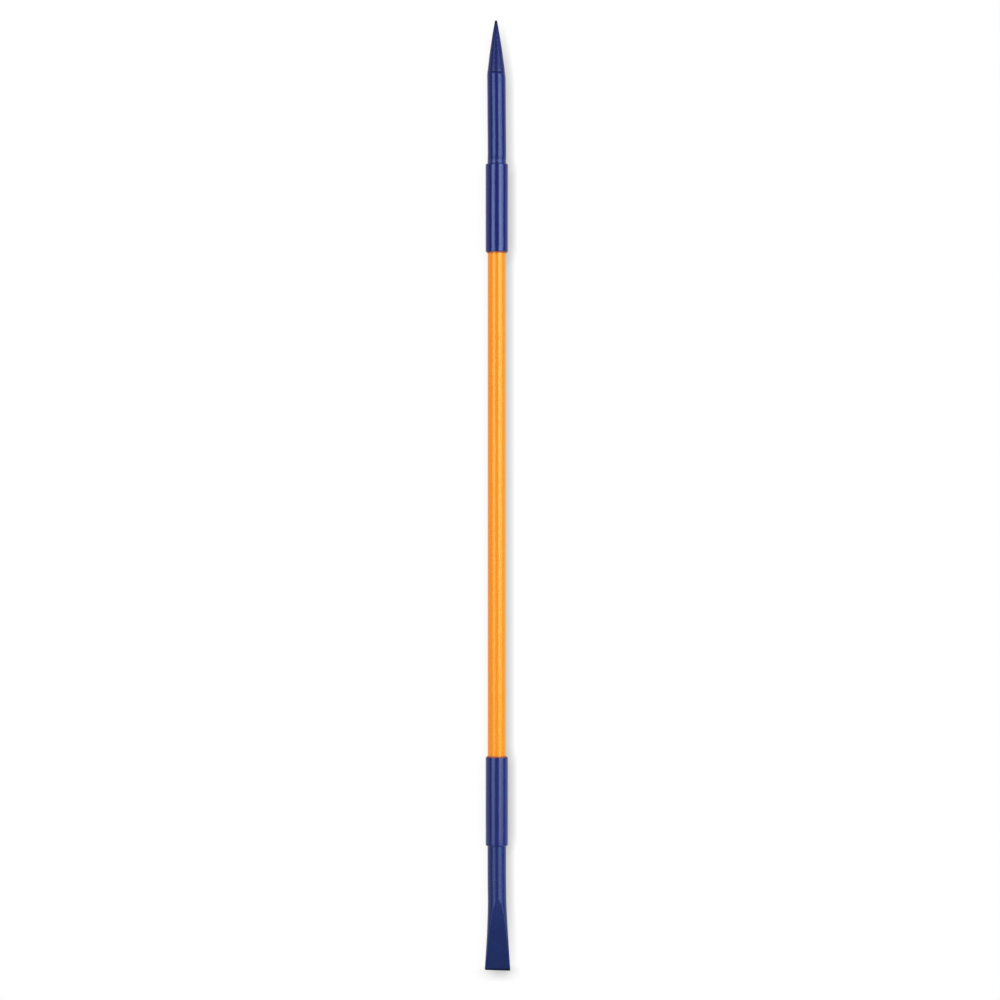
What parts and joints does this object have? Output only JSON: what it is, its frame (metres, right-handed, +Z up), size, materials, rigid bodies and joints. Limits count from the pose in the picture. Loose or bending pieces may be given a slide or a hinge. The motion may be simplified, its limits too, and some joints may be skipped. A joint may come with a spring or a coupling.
{
  "type": "crowbar",
  "caption": "Long straight crowbar with a tapered round point at one end, a flared flat chisel at the other, and an insulated rod held in steel sleeves between them.",
  "frame": {"origin": "on the floor plane, under the middle of the bar's length and on its centre line", "axes": "+Y along the bar towards the point, +X across the chisel's blade, +Z up from the floor that the two sleeves lie on"},
  "size_m": [0.041, 1.524, 0.036],
  "materials": {
    "blue_paint": "satin",
    "orange_cover": "gloss",
    "glass_fibre": "satin",
    "adhesive": "satin",
    "pin_steel": "satin"
  },
  "bodies": {
    "root": {"point_end": "blue_paint", "chisel_end": "blue_paint", "point_ferrule": "blue_paint", "chisel_ferrule": "blue_paint", "shaft_sheath": "orange_cover", "shaft_core": "glass_fibre", "point_bond": "adhesive", "chisel_bond": "adhesive", "point_mouth_bead": "adhesive", "chisel_mouth_bead": "adhesive", "point_shank_pin": "pin_steel", "chisel_shank_pin": "pin_steel", "point_core_pin": "pin_steel", "chisel_core_pin": "pin_steel"}
  },
  "joints": []
}
